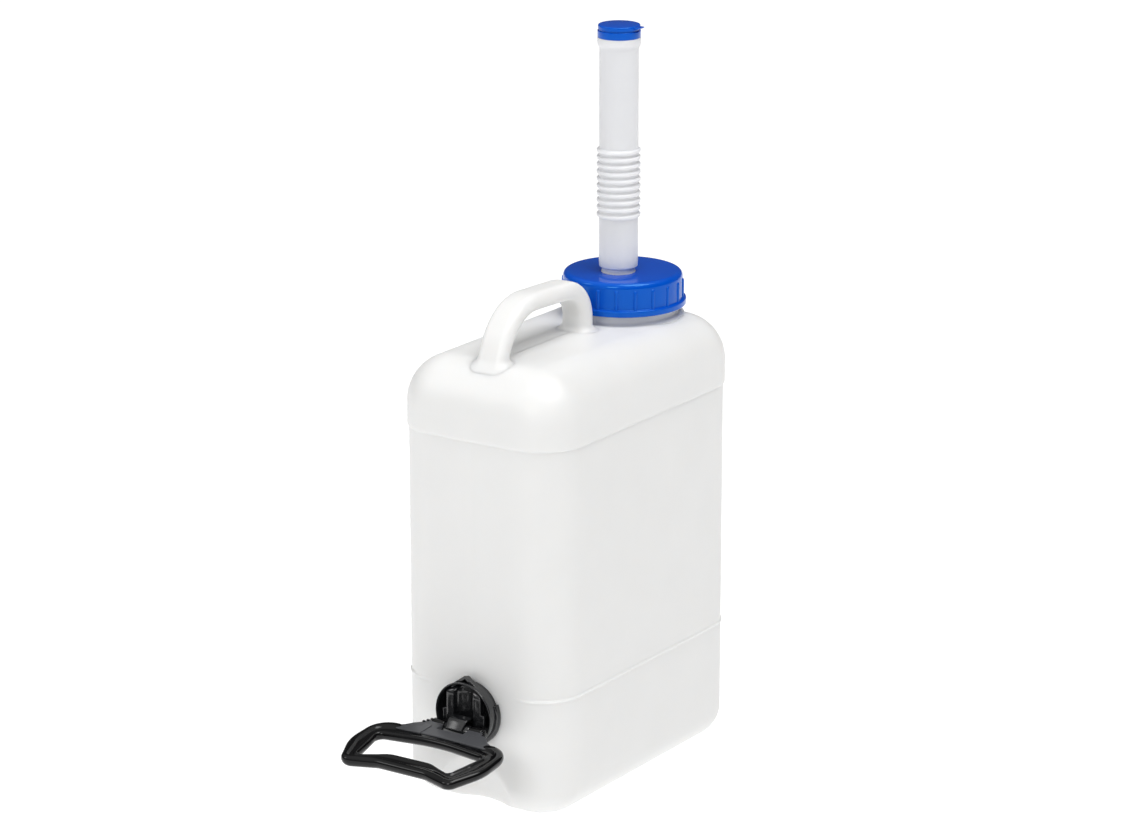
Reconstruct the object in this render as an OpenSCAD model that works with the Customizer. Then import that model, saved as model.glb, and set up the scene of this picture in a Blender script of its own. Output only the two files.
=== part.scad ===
// Wide-neck jerrycan with a flexible pour spout and a fold-up pouring grip.
// X is the narrow width, Y the length (the neck is at +Y, the grip at -Y), Z is up.
// The origin is the centre of the base, on the ground. Millimetres and degrees.

/* [Canister] */
// Narrow width of the upper band
body_w = 165; // [150:1:200]
// Length of the upper band
body_l = 288; // [270:1:340]
// Height of the flat top above the ground
body_h = 379.5; // [366:0.5:440]
// Radius of the upright corners
corner_r = 40; // [34:1:44]
// Radius of the shoulder between the walls and the top
shoulder_r = 40; // [30:1:44]
// Radius between the walls and the base
base_r = 27; // [20:1:30]
// Wall thickness of the blow moulding
wall = 2; // [1.4:0.1:2.6]
// Height of the upper band, from the flat top down to the step
band_h = 60; // [48:0.5:120]
// How far the upper band stands proud of the lower walls
step_d = 1.5; // [0.8:0.1:2.4]
// Height of the bead line low on the wide walls
bead_z = 105.4; // [60:0.2:200]
// Radius of the bead line
bead_r = 1; // [0.5:0.1:1.5]
// Length of each foot along the wide wall
foot_l = 55; // [42:1:75]
// Width of each foot along the narrow wall
foot_w = 40; // [36:1:50]
// Rise of the shallow arches between the feet
arch_rise = 4; // [1:0.5:6]
// Half width of the flat middle of the base
base_flat = 22; // [15:1:30]

/* [Scoop under the grip] */
// Width of the scoop at the ground
scoop_w = 96; // [60:1:104]
// Height of the top of the scoop
scoop_h = 47; // [36:1:52]
// Depth of the scoop at the ground
scoop_d = 10.8; // [6:0.2:14]

/* [Neck] */
// Distance of the neck from the middle of the can
neck_y = 82.3; // [80:0.1:86]
// Outside radius of the neck
neck_r = 46.5; // [44:0.1:48]
// Wall thickness of the neck
neck_wall = 2.8; // [2:0.1:3.6]
// Height of the small cone round the foot of the neck
pad_h = 1.5; // [1:0.5:4]
// How far the cone spreads beyond the neck
pad_spread = 3; // [2:0.5:6]
// Visible height of neck between cone and cap
neck_show = 6.4; // [3:0.1:12]

/* [Top handle] */
// Width of the handle across the can
handle_w = 26.5; // [20:0.5:30]
// Thickness of the handle in its own plane
handle_t = 15.5; // [13:0.5:18]
// Corner radius of the handle section
handle_r = 7; // [4:0.5:8]
// Place of the front leg on the top of the can, along Y
handle_front_y = -112; // [-117:0.5:-106]
// Place of the front bend, along Y
handle_bend_y = -90.5; // [-96:0.5:-84]
// Place of the rear leg, along Y
handle_rear_y = 13; // [4:0.5:18]
// Height of the middle of the bar over the top of the can, at the front bend
handle_front_h = 42; // [38:0.5:52]
// Height of the middle of the bar over the top of the can, at the rear bend
handle_rear_h = 38.5; // [34:0.5:48]
// Bend radius at the front, on the middle line
handle_front_bend = 47.5; // [26:0.5:54]
// Bend radius at the rear, on the middle line
handle_rear_bend = 28.5; // [16:0.5:31]

/* [Screw cap] */
// Clearance between the neck and the cap wall, for the threads
thread_gap = 2; // [1.2:0.1:2.6]
// Thickness of the cap wall
cap_wall = 2.5; // [2:0.1:3.5]
// Thickness of the cap top
cap_top_t = 3; // [2:0.1:4]
// Height of the whole cap
cap_h = 27.6; // [22:0.1:36]
// Height of the flange at the foot of the cap
flange_h = 5.5; // [3:0.5:8]
// How far the flange stands out from the cap wall
flange_out = 3; // [1:0.1:5]
// Radius of the rounded edge of the cap top
cap_edge_r = 4.5; // [2:0.5:5]
// Number of grip ribs
rib_n = 20; // [12:1:30]
// Width of one grip rib
rib_w = 3; // [2:0.2:5]
// How far the ribs stand out
rib_out = 1.2; // [0.6:0.1:2]
// Thickness of the sealing ring
gasket_t = 2; // [1:0.1:3]
// Width of the sealing ring
gasket_w = 4.4; // [3.4:0.1:6]

/* [Spout] */
// How far the spout stands off the middle of the cap, towards the handle
spout_off = 7; // [0:0.5:12]
// Outside radius of the spout tube
tube_r = 16.6; // [15.4:0.1:19]
// Wall thickness of the spout tube
tube_wall = 1.8; // [1.4:0.1:2.2]
// Length of the spout from its lower end to its mouth
spout_len = 196.5; // [170:0.5:240]
// Length of the plain tube below the bellows
bellows_start = 43.6; // [34:0.2:60]
// Number of bellows ridges
ridge_n = 10; // [4:1:14]
// Distance from ridge to ridge
ridge_pitch = 6.15; // [5.2:0.05:7]
// Height of one ridge
ridge_h = 2.9; // [2.4:0.1:4]
// How far the ridges stand out
ridge_out = 2; // [1:0.1:3]
// Height of the flared collar at the mouth
collar_h = 8.5; // [6:0.5:12]
// How far the collar flares out
collar_out = 1.7; // [0.8:0.1:3]
// Height of the nipple that shows between cap and tube
nipple_show = 6; // [3:0.5:10]
// Outside radius of the nipple
nipple_r = 14; // [12:0.1:14.2]
// Wall thickness of the nipple
nipple_wall = 1.8; // [1.2:0.1:2.4]
// Length of the nipple inside the tube
nipple_grip = 24; // [15:0.5:30]
// Radius that the nipple foot spreads beyond its barrel
nipple_foot = 6; // [4:0.5:9]

/* [Stopper] */
// Radius of the stopper skirt
stopper_r = 18.2; // [17:0.1:22]
// Height of the stopper skirt
skirt_h = 6; // [4:0.5:9]
// Height of the stopper head above the groove
head_h = 3.6; // [2.4:0.2:6]
// Depth of the plug in the spout
plug_len = 20; // [12:1:28]
// How far the thumb tab reaches out
tab_out = 4.5; // [2:0.5:8]

/* [Grip bracket] */
// Height of the middle of the bracket
bracket_z = 88; // [84:0.5:130]
// Outside radius of the cup at its rim
cup_r = 27; // [25:0.5:31]
// Outside radius of the flange on the wall
cup_flange_r = 28.8; // [27:0.2:34]
// Depth of the cup from the wall to its rim
cup_depth = 14; // [12:0.5:18]
// Wall thickness of the cup
cup_wall = 2.5; // [2:0.1:3.5]
// Thickness of the cup floor on the wall
cup_floor = 6; // [5.6:0.2:7]
// Radius of the round head that holds the bracket on the can
knob_r = 19; // [14:0.5:21]
// Height of the lug peak over the middle of the bracket
lug_peak = 33; // [31:0.5:40]
// Half width of the lug
lug_half = 15; // [10:0.5:18]

/* [Hinge] */
// How far the hinge line lies in front of the rim
hinge_out = 6.5; // [6.3:0.1:9]
// How far the hinge line lies below the middle of the bracket
hinge_drop = 11.5; // [10:0.5:13]
// Radius of the hinge knuckles
knuckle_r = 6; // [5:0.1:6.2]
// Radius of the hinge pin
pin_r = 2; // [1.5:0.1:2.5]
// Half length of the hinge pin
pin_half = 19.4; // [18:0.1:21]
// Half width of the middle knuckle
mid_half = 12; // [9:0.2:13]
// Inside radius of the tongue around the hinge line
tongue_r = 12; // [11:0.1:13]
// Thickness of the tongue
tongue_t = 2; // [1.4:0.1:2.4]
// Half width of the tongue
tongue_half = 9; // [6:0.5:10]

/* [Grip] */
// How far the grip hangs below the level when it rests
grip_sag = 6.5; // [0:0.5:10]
// Width of the grip bars
bar_w = 17; // [14:0.2:18]
// Thickness of the grip bars
bar_t = 9.5; // [8:0.1:12]
// Height of the bar tops over the hinge line
bar_top = 5.5; // [4.5:0.1:5.8]
// Half width of the grip at its rear corners, on the bar middle
grip_rear_x = 59.5; // [52:0.5:70]
// Half width of the grip at its front corners, on the bar middle
grip_front_x = 48.5; // [44:0.5:60]
// Reach of the front corners from the hinge line
grip_reach = 85.5; // [78:0.5:110]
// How far the hand bar lies behind the front corners
hand_dip = 9.5; // [4:0.5:12]
// Half length of the straight part of the hand bar
hand_half = 24; // [18:0.5:28]
// Thickness of the hinge plate
plate_t = 4; // [3:0.1:4.5]
// Outer half width of the hinge knuckles on the grip
knuckle_half = 20; // [18:0.2:22]

/* [Hidden] */
fine = 96;
very_fine = 720;
eps = 0.01;
fit = 0.05;
hair = 0.1;
crease = 0.05;
run_in = 0.5;
seat_gap = 0.3;

natural_pe = [0.93, 0.94, 0.94];
spout_pe = [0.90, 0.90, 0.94];
cap_blue = [0.0, 0.30, 0.75];
seal_grey = [0.75, 0.75, 0.72];
grip_black = [0.06, 0.06, 0.07];
steel = [0.62, 0.63, 0.65];

// Canister
low_w = body_w - 2 * step_d;
low_l = body_l - 2 * step_d;
front_y = -low_l / 2;
step_z = body_h - band_h;
top_r = min(shoulder_r, corner_r);
foot_r = min(base_r, corner_r - step_d);

// Scoop: a leaning cylinder that meets the wall at the top of the scoop
scoop_r = (pow(scoop_w / 2, 2) + pow(scoop_d, 2)) / (2 * scoop_d);
scoop_lean = atan(scoop_d / scoop_h);

// Neck and cap, stacked from the top of the can
pad_top = body_h + pad_h;
cap_foot_z = pad_top + neck_show;
cap_top_z = cap_foot_z + cap_h;
cap_under_z = cap_top_z - cap_top_t;
neck_top_z = cap_under_z - gasket_t;
cap_bore = neck_r + thread_gap;
cap_r = cap_bore + cap_wall;
flange_r = cap_r + flange_out;

// Spout, stacked on the cap
spout_y = neck_y - spout_off;
tube_z = cap_top_z + nipple_show;
mouth_z = tube_z + spout_len;
tube_bore = tube_r - tube_wall;
collar_r = tube_r + collar_out;
barb_r = 0.6;
foot_t = 2;
snap_h = 1.8;
snap_out = 0.5;

// Stopper
plug_r = tube_bore - fit;
groove_h = 1.2;
groove_in = 1.4;
head_r = stopper_r - 0.4;

// Bracket, measured outwards from the narrow wall
rim_y = front_y - cup_depth;
cup_bore = cup_r - cup_wall;
knob_head_t = 1.8;
knob_neck_t = 1.8;
knob_neck_r = knob_r - 2;
trough_r = 9.5;
cheek_half = 13.4;
cheek_foot = 4;
cup_flange_t = 4;
web_t = 4;
lug_set = 3;
lug_lip = 4;

// Hinge line
hinge_y = rim_y - hinge_out;
hinge_z = bracket_z - hinge_drop;
knuckle_gap = 0.4;

// Grip, drawn in its own plane: x across, y the reach from the hinge line, z over it
rear_corner_r = 14;
rear_mid_reach = 21.5;
rear_corner_reach = 32;
rear_bow_r = 110;
hand_bend_r = 30;
bar_high_r = 1.8;
heel_t = 4;
heel_drop = 7;
pin_hole = 4 * knuckle_half;

// A quarter disc in the corner of a profile, a hair fuller than the true fillet
module corner_fill(x, z, r, up) {
    translate([x, z]) intersection() {
        circle(r + crease, $fn = fine);
        translate([-min(eps, x), up > 0 ? -eps : -r]) square([r + min(eps, x), r + eps]);
    }
}

// Half section of the canister wall, from the corner axis outwards, moved in by inset
module wall_profile(inset, bead) {
    up = corner_r - inset;
    low = corner_r - step_d - inset;
    z_top = body_h - inset;
    shoulder = top_r - inset;
    edge = foot_r - inset;
    ledge = step_z + inset;
    translate([0, ledge]) square([up, z_top - shoulder - ledge]);
    if (up > shoulder) translate([0, z_top - shoulder - eps]) square([up - shoulder, shoulder + eps]);
    corner_fill(up - shoulder, z_top - shoulder, shoulder, 1);
    translate([0, inset + edge]) square([low, ledge - inset - edge + eps]);
    translate([0, inset]) square([low - edge, edge + eps]);
    corner_fill(low - edge, inset + edge, edge, -1);
    if (bead) intersection() {
        translate([low, bead_z]) circle(bead_r, $fn = 32);
        translate([0, bead_z - bead_r]) square([low + bead_r, 2 * bead_r]);
    }
}

// The closed box form of the can: a slab between two ends with revolved corners
module can_box(inset, bead) {
    axis_x = body_w / 2 - corner_r;
    axis_y = body_l / 2 - corner_r;
    rotate([90, 0, 0]) linear_extrude(2 * axis_y, center = true) {
        for (side = [0, 1]) mirror([side, 0]) translate([axis_x, 0]) wall_profile(inset, bead);
        translate([-axis_x - eps, inset]) square([2 * axis_x + 2 * eps, body_h - 2 * inset]);
    }
    for (end = [0, 180]) rotate([0, 0, end]) {
        translate([0, axis_y, 0]) rotate([90, 0, 90])
            linear_extrude(2 * axis_x, center = true) wall_profile(inset, false);
        for (turn = [0, 1]) mirror([turn, 0, 0]) translate([axis_x, axis_y, 0])
            rotate_extrude(angle = 90, $fn = fine) wall_profile(inset, bead);
    }
}

// A shallow arch under one edge of the base, which runs out towards the middle
module base_arch(half, chord, inset) {
    arch_r = (pow(chord / 2, 2) + pow(arch_rise, 2)) / (2 * arch_rise);
    lean = atan(arch_rise / (half - base_flat));
    past = 20;
    translate([half, 0, arch_rise]) rotate([0, -lean, 0]) translate([-half - past, 0, -arch_r])
        rotate([0, 90, 0]) cylinder(h = half + 3 * past, r = arch_r + inset, $fn = very_fine);
}

module base_arches(inset) {
    for (side = [0, 180]) rotate([0, 0, side])
        base_arch(low_w / 2, low_l - 2 * foot_l, inset);
    for (side = [90, 270]) rotate([0, 0, side])
        base_arch(low_l / 2, low_w - 2 * foot_w, inset);
}

module scoop(inset) {
    translate([0, front_y, scoop_h]) rotate([scoop_lean, 0, 0]) translate([0, -scoop_r, -2 * scoop_h])
        cylinder(h = 4 * scoop_h, r = scoop_r + inset, $fn = 360);
}

// Points and bends of the top handle, in the plane along the can
handle_path = [[handle_front_y, body_h], [handle_bend_y, body_h + handle_front_h],
               [handle_rear_y, body_h + handle_rear_h], [handle_rear_y, body_h]];
handle_bends = [0, handle_front_bend, handle_rear_bend, 0];
handle_root = 8;

function heading(a, b) = atan2(b[1] - a[1], b[0] - a[0]);
function turn_angle(a, b) = ((b - a + 540) % 360) - 180;
function tangent_len(r, turn) = r * abs(tan(turn / 2));

// A straight bar with the child as its section, from a to b, longer by the two extras.
// It runs a little way into the bends at its ends and is a hair slimmer than they are.
module bar(a, b, before, after) {
    $slim = hair;
    translate([a[0], a[1], 0]) rotate([0, 0, heading(a, b)]) translate([-before, 0, 0])
        rotate([90, 0, 90]) linear_extrude(norm(b - a) + before + after) children();
}

// The bend at b on the way from a to c, with the child as its section
module bend(a, b, c, r) {
    $slim = 0;
    h1 = heading(a, b);
    turn = turn_angle(h1, heading(b, c));
    side = sign(turn);
    back = tangent_len(r, turn);
    start = b - back * [cos(h1), sin(h1)];
    centre = start + side * r * [-sin(h1), cos(h1)];
    translate([centre[0], centre[1], 0]) rotate([0, 0, h1 - side * 90 + min(turn, 0)])
        rotate_extrude(angle = abs(turn), $fn = 4 * fine) translate([r, 0]) children();
}

module handle_form(inset, reach_down) {
    p = handle_path;
    turn_1 = turn_angle(heading(p[0], p[1]), heading(p[1], p[2]));
    turn_2 = turn_angle(heading(p[1], p[2]), heading(p[2], p[3]));
    cut_1 = tangent_len(handle_bends[1], turn_1);
    cut_2 = tangent_len(handle_bends[2], turn_2);
    rotate([90, 0, 90]) {
        bar(p[0], p[1], reach_down, run_in - cut_1) handle_section(inset);
        bend(p[0], p[1], p[2], handle_bends[1]) handle_section(inset);
        bar(p[1], p[2], run_in - cut_1, run_in - cut_2) handle_section(inset);
        bend(p[1], p[2], p[3], handle_bends[2]) handle_section(inset);
        bar(p[2], p[3], run_in - cut_2, reach_down) handle_section(inset);
    }
}

// Points of a rectangle with round corners, each corner in a few flats
function round_pts(w, h, r, step) =
    [for (q = [0:3], a = [0:step:90])
        let (x = (q == 0 || q == 3) ? w / 2 - r : r - w / 2, y = q < 2 ? h / 2 - r : r - h / 2)
        [x + r * cos(q * 90 + a), y + r * sin(q * 90 + a)]];

module handle_section(inset) {
    slim = inset + $slim;
    corner = min(handle_r, handle_t / 2 - 0.5);
    polygon(round_pts(handle_t - 2 * slim, handle_w - 2 * slim, corner - slim, 18));
}

// The neck, solid, down into the shoulder, with a small cone round its foot
module neck_form() {
    deep = shoulder_r / 2;
    lip = 0.4;
    translate([0, neck_y, body_h]) rotate_extrude($fn = fine)
        polygon([[0, -deep], [neck_r + pad_spread, -deep], [neck_r + pad_spread, lip],
                 [neck_r, lip + pad_h], [neck_r, neck_top_z - body_h], [0, neck_top_z - body_h]]);
}

// The round head that the bracket snaps onto, hollow like the wall it is blown from
module knob(inset) {
    root = 4;
    rotate([90, 0, 0]) translate([0, bracket_z, -front_y]) {
        translate([0, 0, -root - inset])
            cylinder(h = root + knob_neck_t, r = knob_neck_r - inset, $fn = fine);
        if (inset == 0)
            translate([0, 0, knob_neck_t]) cylinder(h = knob_head_t, r = knob_r, $fn = fine);
    }
}

module can_form(inset, bead) {
    difference() {
        can_box(inset, bead);
        base_arches(inset);
        scoop(inset);
    }
}

module canister() {
    color(natural_pe) difference() {
        union() {
            can_form(0, true);
            neck_form();
            handle_form(0, handle_root);
            knob(0);
        }
        can_form(wall, false);
        handle_form(wall, shoulder_r / 2);
        knob(wall);
        translate([0, neck_y, body_h - shoulder_r / 2])
            cylinder(h = neck_top_z - body_h + shoulder_r, r = neck_r - neck_wall, $fn = fine);
    }
}

module screw_cap() {
    edge = cap_edge_r;
    foot_edge = 1;
    rib_end = 0.6;
    color(cap_blue) difference() {
        union() {
            translate([0, neck_y, cap_foot_z]) rotate_extrude($fn = fine) {
                square([cap_r, cap_h - edge]);
                square([cap_r - edge, cap_h]);
                translate([cap_r - edge, cap_h - edge]) circle(edge, $fn = fine);
                square([flange_r, flange_h - foot_edge]);
                square([flange_r - foot_edge, flange_h]);
                translate([flange_r - foot_edge, flange_h - foot_edge]) circle(foot_edge, $fn = 32);
            }
            for (i = [0:rib_n - 1])
                translate([0, neck_y, cap_foot_z + flange_h / 2]) rotate([0, 0, (i + 0.5) * 360 / rib_n])
                    translate([cap_r - 1, -rib_w / 2, 0])
                    cube([1 + rib_out, rib_w, cap_h - edge - flange_h / 2 - rib_end]);
        }
        translate([0, neck_y, cap_foot_z - 1])
            cylinder(h = cap_under_z - cap_foot_z + 1, r = cap_bore, $fn = fine);
        translate([0, spout_y, cap_under_z - 1])
            cylinder(h = cap_top_t + 2, r = nipple_r + fit, $fn = fine);
    }
}

module cap_gasket() {
    outer = neck_r + thread_gap / 2;
    color(seal_grey) translate([0, neck_y, neck_top_z]) difference() {
        cylinder(h = gasket_t, r = outer, $fn = fine);
        translate([0, 0, -1]) cylinder(h = gasket_t + 2, r = outer - gasket_w, $fn = fine);
    }
}

module spout_nipple() {
    barrel = cap_top_t + nipple_show + nipple_grip - 1;
    color(spout_pe) translate([0, spout_y, cap_under_z]) rotate_extrude($fn = fine) difference() {
        union() {
            translate([0, -foot_t]) square([nipple_r + nipple_foot, foot_t]);
            translate([0, -foot_t]) square([nipple_r, foot_t + barrel]);
            translate([0, cap_top_t]) square([nipple_r + snap_out, snap_h]);
            translate([nipple_r, cap_top_t + nipple_show + nipple_grip / 2]) circle(barb_r, $fn = 32);
        }
        translate([0, -foot_t - 1]) square([nipple_r - nipple_wall, foot_t + barrel + 2]);
    }
}

// Wall section of the spout, from its lower end up
module spout_profile() {
    ridge_z0 = bellows_start;
    lead = 1.6;
    soft = 0.8;
    slot = 1.2;
    flare = 2.2;
    difference() {
        union() {
            square([tube_r - lead, spout_len]);
            translate([0, lead]) square([tube_r, spout_len - lead]);
            translate([tube_r - lead, lead]) circle(lead, $fn = 48);
            for (i = [0:ridge_n - 1]) {
                z = ridge_z0 + i * ridge_pitch;
                translate([0, z]) square([tube_r + ridge_out - soft, ridge_h]);
                translate([0, z + soft]) square([tube_r + ridge_out, ridge_h - 2 * soft]);
                for (dz = [soft, ridge_h - soft])
                    translate([tube_r + ridge_out - soft, z + dz]) circle(soft, $fn = 32);
            }
            polygon([[0, spout_len - collar_h], [tube_r, spout_len - collar_h],
                     [collar_r, spout_len - collar_h + flare], [collar_r, spout_len], [0, spout_len]]);
        }
        translate([0, -1]) square([nipple_r + fit, nipple_grip + 1]);
        translate([nipple_r + fit, nipple_grip / 2]) circle(barb_r, $fn = 32);
        translate([0, nipple_grip - eps]) square([nipple_r - nipple_wall, 4]);
        translate([0, nipple_grip + 3]) square([tube_bore, spout_len]);
        for (i = [0:ridge_n - 1])
            translate([0, ridge_z0 + i * ridge_pitch + (ridge_h - slot) / 2]) square([tube_r + 0.2, slot]);
    }
}

module spout() {
    color(spout_pe) translate([0, spout_y, tube_z]) rotate_extrude($fn = fine) spout_profile();
}

module spout_stopper() {
    plug_wall = 1.6;
    soft = 1;
    color(cap_blue) translate([0, spout_y, mouth_z]) {
        difference() {
            union() {
                rotate_extrude($fn = fine) {
                    translate([0, -plug_len]) square([plug_r, plug_len + 1]);
                    square([stopper_r, skirt_h]);
                    square([stopper_r - groove_in, skirt_h + groove_h + 1]);
                    translate([0, skirt_h + groove_h]) square([head_r, head_h - soft]);
                    translate([0, skirt_h + groove_h]) square([head_r - soft, head_h]);
                    translate([head_r - soft, skirt_h + groove_h + head_h - soft]) circle(soft, $fn = 32);
                }
                stopper_tab();
            }
            translate([0, 0, -plug_len - 1]) cylinder(h = plug_len + 3, r = plug_r - plug_wall, $fn = fine);
        }
    }
}

// The wedge-shaped thumb tab on the side of the stopper head
module stopper_tab() {
    root = 6;
    tab_w = 9;
    translate([0, tab_w / 2, skirt_h + groove_h]) rotate([90, 0, 0]) linear_extrude(tab_w)
        polygon([[head_r - root, 0.4], [head_r + tab_out - 1, 1.6], [head_r + tab_out, 2.4],
                 [head_r + tab_out, head_h - 0.6], [head_r - root, head_h - 0.2]]);
}

// The round cup on the narrow wall that carries the grip
module grip_bracket() {
    color(grip_black) difference() {
        union() {
            translate([0, front_y, bracket_z]) rotate([90, 0, 0]) {
                cylinder(h = cup_flange_t, r = cup_flange_r, $fn = fine);
                cylinder(h = cup_floor, r = cup_r, $fn = fine);
                difference() {
                    cylinder(h = cup_depth, r = cup_r, $fn = fine);
                    translate([0, 0, cup_floor]) cylinder(h = cup_depth, r = cup_bore, $fn = fine);
                }
                cheek_block();
            }
            lug();
            hinge_web();
        }
        knob_recess();
        hinge_hole(pin_r + fit);
    }
}

// Two upright cheeks with a smooth trough between them, in the cup
module cheek_block() {
    intersection() {
        translate([-cheek_half, -cheek_foot, 0]) cube([2 * cheek_half, 2 * cup_r, cup_depth - 1]);
        difference() {
            cylinder(h = cup_depth - 1, r = cup_bore + 0.5, $fn = fine);
            translate([0, 0, cup_floor + trough_r]) rotate([90, 0, 0])
                cylinder(h = 4 * cup_r, r = trough_r, center = true, $fn = fine);
        }
    }
}

// The pointed lug over the cup
module lug() {
    eave = lug_peak - lug_half * 0.75;
    translate([0, front_y, bracket_z]) rotate([90, 0, 0]) linear_extrude(cup_depth - lug_set) difference() {
        polygon([[-lug_half, eave], [0, lug_peak], [lug_half, eave],
                 [lug_half - lug_lip, eave - lug_set], [-lug_half + lug_lip, eave - lug_set]]);
        circle(cup_r - 1, $fn = fine);
    }
}

// The web, middle knuckle and tongue that reach forward from the cup
module hinge_web() {
    sweep_back = 176;
    sweep_front = 34;
    floor_y = front_y - cup_floor + 1;
    translate([-mid_half, 0, 0]) {
        translate([0, hinge_y, hinge_z]) rotate([90, 0, 90])
            cylinder(h = 2 * mid_half, r = knuckle_r - seat_gap, $fn = fine);
        translate([0, hinge_y, hinge_z - knuckle_r + seat_gap])
            cube([2 * mid_half, floor_y - hinge_y, web_t]);
    }
    translate([-tongue_half, hinge_y, hinge_z]) rotate([90, 0, 90]) rotate([0, 0, 180 - sweep_back])
        rotate_extrude(angle = sweep_back - sweep_front, $fn = 2 * fine)
        translate([tongue_r, 0]) square([tongue_t, 2 * tongue_half]);
}

module knob_recess() {
    play = 0.15;
    translate([0, front_y + 1, bracket_z]) rotate([90, 0, 0]) {
        cylinder(h = 1 + knob_neck_t, r = knob_neck_r + play, $fn = fine);
        translate([0, 0, 1 + knob_neck_t - play])
            cylinder(h = knob_head_t + 2 * play, r = knob_r + play, $fn = fine);
    }
}

module hinge_hole(r) {
    translate([0, hinge_y, hinge_z]) rotate([0, 90, 0])
        cylinder(h = pin_hole, r = r, center = true, $fn = fine);
}

module hinge_pin() {
    color(steel) translate([0, hinge_y, hinge_z]) rotate([0, 90, 0])
        cylinder(h = 2 * pin_half, r = pin_r, center = true, $fn = fine);
}

// Section of a grip bar: flat on top with soft edges, well rounded below, in a few flats
module bar_section() {
    half = bar_w / 2 - $slim;
    low = bar_top - bar_t + $slim;
    high = bar_top - $slim;
    belly = bar_t * 0.55;
    low_pts = [for (a = [-90:18:0]) [half - belly + belly * cos(a), low + belly + belly * sin(a)]];
    high_pts = [for (a = [0:30:90]) [half - bar_high_r + bar_high_r * cos(a),
                                     high - bar_high_r + bar_high_r * sin(a)]];
    right = concat(low_pts, high_pts);
    last = len(right) - 1;
    polygon(concat(right, [for (i = [last:-1:0]) [-right[i][0], right[i][1]]]));
}

// Corner points and bends of the loop, on the middle of the bars
loop_pts = [[grip_front_x, grip_reach], [hand_half, grip_reach - hand_dip],
            [-hand_half, grip_reach - hand_dip], [-grip_front_x, grip_reach],
            [-grip_rear_x, rear_corner_reach], [0, rear_mid_reach], [grip_rear_x, rear_corner_reach]];
loop_bends = [0, hand_bend_r, hand_bend_r, 0, rear_corner_r, rear_bow_r, rear_corner_r];

// The outer round of a corner with no bend: half the section, revolved, a hair fuller
module corner_disc(p) {
    $slim = -hair;
    translate([p[0], p[1], 0]) rotate_extrude($fn = fine) intersection() {
        children();
        translate([0, -bar_w]) square(2 * bar_w);
    }
}

// The child's section carried round some corners of the closed loop
module loop_run(corners) {
    n = len(loop_pts);
    turns = [for (i = [0:n - 1]) turn_angle(heading(loop_pts[(i + n - 1) % n], loop_pts[i]),
                                            heading(loop_pts[i], loop_pts[(i + 1) % n]))];
    ends = [for (i = [0:n - 1]) loop_bends[i] > 0 ? run_in - tangent_len(loop_bends[i], turns[i]) : 0];
    union() for (i = corners) {
        before = loop_pts[(i + n - 1) % n];
        here = loop_pts[i];
        after = loop_pts[(i + 1) % n];
        bar(here, after, ends[i], ends[(i + 1) % n]) children();
        if (loop_bends[i] > 0) bend(before, here, after, loop_bends[i]) children();
        else corner_disc(here) children();
    }
}

// The whole loop, fused from its front half and its rear half
module loop_sweep() {
    loop_run([0:2]) children();
    loop_run([3:6]) children();
}

// The hinge plate: a flared sheet from the knuckles to the rear bar
module grip_plate() {
    flare = 40;
    neck = knuckle_half + 5;
    neck_reach = 7;
    edge = rear_mid_reach - 3;
    tongue_room = 1.2;
    translate([0, 0, bar_top - plate_t - 0.6]) linear_extrude(plate_t) difference() {
        polygon([[-knuckle_half, 0], [knuckle_half, 0], [neck, neck_reach],
                 [flare, edge], [-flare, edge], [-neck, neck_reach]]);
        square([2 * (mid_half + knuckle_gap), 2 * (tongue_r + tongue_t + tongue_room)], center = true);
    }
}

module grip_knuckles() {
    inner = mid_half + knuckle_gap;
    for (side = [0, 1]) mirror([side, 0, 0]) {
        translate([inner, 0, 0]) rotate([90, 0, 90])
            cylinder(h = knuckle_half - inner, r = knuckle_r, $fn = fine);
        // Stop heel that rests on the front of the cup rim
        rotate([grip_sag, 0, 0]) translate([inner, seat_gap - hinge_out, -knuckle_r - heel_drop])
            cube([knuckle_half - inner, heel_t, knuckle_r + heel_drop - 2]);
    }
}

module grip() {
    color(grip_black) translate([0, hinge_y, hinge_z]) rotate([0, 0, 180]) rotate([-grip_sag, 0, 0]) {
        difference() {
            union() {
                loop_sweep() bar_section();
                grip_plate();
                grip_knuckles();
            }
            rotate([0, 90, 0]) cylinder(h = pin_hole, r = pin_r + fit, center = true, $fn = fine);
        }
    }
}

canister();
screw_cap();
cap_gasket();
spout_nipple();
spout();
spout_stopper();
grip_bracket();
grip();
hinge_pin();
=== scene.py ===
# %% [markdown]
# # A jerrycan with a pour spout and a folding grip
# The part is a milky canister of polyethylene, blown in one piece, with a wide blue screw
# cap, a soft bellows spout and a black grip low on the front wall. The solids from the CAD
# pack give every place and size, and this lesson dresses them: each visible piece is drawn
# again as a smooth mesh in the same frame, in metres, with Z up and the neck towards +Y.

# %% Load the frame
import math

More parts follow.
